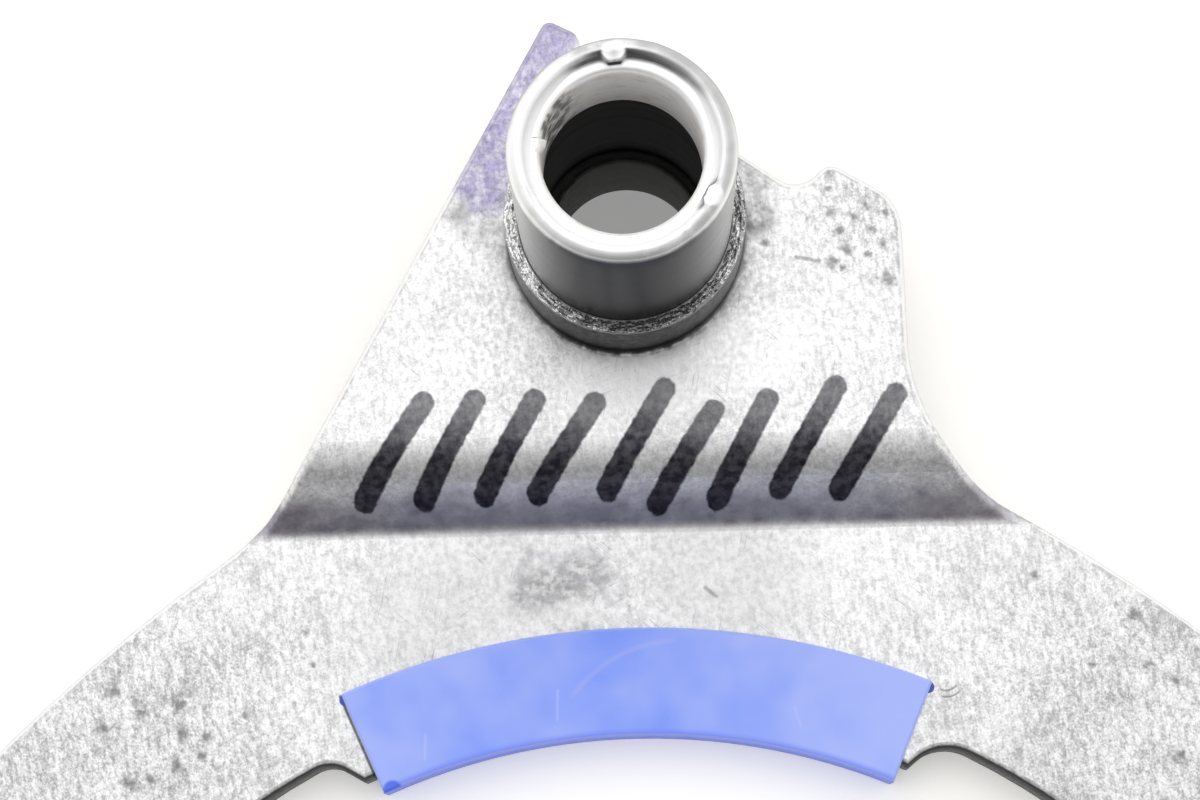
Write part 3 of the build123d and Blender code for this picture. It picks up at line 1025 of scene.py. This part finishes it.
# %% Nylon of the pads
nylon_deep = (0.205, 0.330, 1.000)
nylon_pale = (0.400, 0.490, 1.000)
# Painted shade on the pads' inner wall.
nylon_wall_shade = (0.165, 0.240, 0.960)
# Painted shade on the nylon below the plate's front face.
nylon_shade_below = (0.070, 0.110, 0.400)
# Painted shade on a small facet of the middle pad.
nylon_facet_shade = (0.085, 0.160, 0.850)
nylon_scratch = (0.55, 0.62, 1.0)
nylon_scuff = (0.60, 0.55, 0.90)
pad_inner_radius = 66.0
pad_scratches = (((-21.5, -50.0), (-21.6, -52.6)), ((-8.0, -45.8), (-8.1, -48.8)),
                 ((16.0, -48.0), (16.6, -50.0)))
# A bowed scuff: the middle and radius of its arc. The facet, painted darker as shade, is on the left corner
# of the middle pad.
scuff_middle = (4.4, -54.6)
scuff_radius = 13.6
facet_middle = (-24.9, -55.5)


def pad_clouds(recipe):
    """Faint clouds, paler towards the ends of the pads."""
    clouds = recipe.times(recipe.noise(7.0, 2.0), 0.55)
    clouds = recipe.add(clouds, recipe.times(recipe.math("ABSOLUTE", recipe.x), 0.008))
    clouds = recipe.add(recipe.add(clouds, 0.225), recipe.times(recipe.x, 0.002))
    return recipe.ramp(clouds, 0.38, 0.80)


def pad_nylon():
    recipe = Recipe("pad_nylon")
    colour = recipe.blend(pad_clouds(recipe), nylon_deep, nylon_pale)
    for line in pad_scratches:
        colour = recipe.coat(colour, beside(recipe, line, 0.04, 0.22, 0.30), nylon_scratch)
    arc = recipe.math("ABSOLUTE", recipe.add(recipe.from_axis(scuff_middle), -scuff_radius))
    bowed = recipe.times(recipe.fade(arc, 0.05, 0.45, 0.18), recipe.fade(recipe.x, 3.5, 4.5))
    colour = recipe.coat(colour, recipe.times(bowed, recipe.ramp(recipe.y, -47.0, -46.0)), nylon_scuff)
    # Painted shade on the pad's inner wall.
    out = recipe.from_axis(fork_centre)
    wall = recipe.fade(out, pad_inner_radius + 0.05, pad_inner_radius + 0.90)
    colour = recipe.coat(colour, wall, nylon_wall_shade)
    tilt = recipe.facing()[2]
    # A painted highlight on the pad's rounded edges.
    rounded_edge_highlight = recipe.times(recipe.ramp(tilt, 0.5, 0.6), recipe.fade(tilt, 0.8, 0.9))
    colour = recipe.coat(colour, rounded_edge_highlight, nylon_pale, 0.7)
    # Painted shade on a small facet at the middle pad's left corner.
    on_top = recipe.ramp(recipe.z, pad_top - 0.8, pad_top - 0.3)
    colour = recipe.coat(colour, recipe.times(near(recipe, facet_middle, 0.75, 0.4), on_top), nylon_facet_shade)
    # Painted shade on the nylon below the plate's front face.
    under = recipe.times(recipe.fade(recipe.z, lower_front + 0.02, lower_front + 0.10),
                         recipe.ramp(out, pad_inner_radius + 0.2, pad_inner_radius + 0.5))
    colour = recipe.coat(colour, under, nylon_shade_below)
    roughness = recipe.patches(1.0, 2.0, 3.0, (0.3, 0.7), (0.46, 0.56))
    return recipe.finish(colour, roughness, 0.0, recipe.noise(0.35, 2.0, offset=8.0), 0.006)


pad_material = pad_nylon()
for name in ("centre_pad", "left_tip_pad", "right_tip_pad"):
    dress(nodes[name], pad_material)

# %% [markdown]
# The studio is a plain white table under soft light. The world gives light from all round at a plain level
# and grows darker towards the front, which is what makes steel look like steel. A soft lamp overhead adds a
# little direction. To the camera and to polished steel the table glows a little, so that it looks white.

# %% The table
table_half = 3.0
table_white = (0.90, 0.89, 0.85)
table_lift = 0.27


def glowing_white():
    """White that glows a little, but only to the camera and in polished or clear things."""
    recipe = Recipe("table_white")
    rays = recipe.node("LightPath")
    seen = rays["Is Camera Ray"]
    for name in ("Is Glossy Ray", "Is Transmission Ray"):
        seen = recipe.larger(seen, rays[name])
    fill(recipe.surface, {"Specular IOR Level": 0.0, "Emission Color": opaque(grey(1.0)),
                          "Emission Strength": recipe.times(seen, table_lift)})
    return recipe.finish(opaque(table_white), 0.9, 0.0)


def table():
    mesh = bpy.data.meshes.new("table")
    corners = [(-table_half, -table_half, 0), (table_half, -table_half, 0),
               (table_half, table_half, 0), (-table_half, table_half, 0)]
    mesh.from_pydata(corners, [], [(0, 1, 2, 3)])
    mesh.materials.append(glowing_white())
    in_scene("table", mesh)


table()

# %% The light
# The room is bright behind and above the fork, and dark in front of it.
room_bright = 1.22
room_dark = 0.25
dark_from = -1.0
bright_from = 0.25
lamp_place = (-0.05, 0.30, 0.85)
lamp_aim = (0.0, -0.03, 0.0)
lamp_size = 0.6
lamp_watts = 0.5


def surroundings():
    world = bpy.data.worlds.new("room")
    bpy.context.scene.world = world
    world.use_nodes = True
    tree = world.node_tree
    direction = add_node(tree, "ShaderNodeTexCoord").outputs["Generated"]
    backwards = add_node(tree, "ShaderNodeSeparateXYZ", {0: direction}).outputs[1]
    levels = dict(enumerate((backwards, dark_from, bright_from, room_dark, room_bright)))
    strength = add_node(tree, "ShaderNodeMapRange", levels).outputs[0]
    fill(tree.nodes["Background"], {"Color": opaque(grey(1.0)), "Strength": strength})


def soft_lamp():
    data = bpy.data.lights.new("overhead", "AREA")
    data.shape = "SQUARE"
    data.size = lamp_size
    data.energy = lamp_watts
    lamp = in_scene("overhead", data)
    lamp.location = lamp_place
    lamp.rotation_euler = (Vector(lamp_aim) - Vector(lamp_place)).to_track_quat("-Z", "Y").to_euler()


surroundings()
soft_lamp()

# %% [markdown]
# The camera hangs nearly straight above the pads, close enough for the hub to lean away. Its place, what it
# looks at and its roll follow from how round the circles of the hub look from there.

# %% The camera
camera_place = Vector((0.00139, -0.06705, 0.31157))
camera_aim = Vector((-0.00315, -0.01501, 0.0))
camera_roll = -6.28


def camera():
    data = bpy.data.cameras.new("camera")
    data.sensor_width = 36.0
    data.lens = 90.0
    data.clip_start = 0.01
    look = (camera_aim - camera_place).to_track_quat("-Z", "Y")
    roll = Quaternion((0.0, 0.0, 1.0), math.radians(camera_roll))
    eye = in_scene("camera", data)
    eye.rotation_mode = "QUATERNION"
    eye.rotation_quaternion = look @ roll
    eye.location = camera_place
    bpy.context.scene.camera = eye
    return eye


eye = camera()
bpy.context.view_layer.update()
print("camera up:", [round(value, 4) for value in eye.matrix_world.col[1][:3]])

# %% Finish
bpy.context.scene.view_settings.view_transform = "Standard"
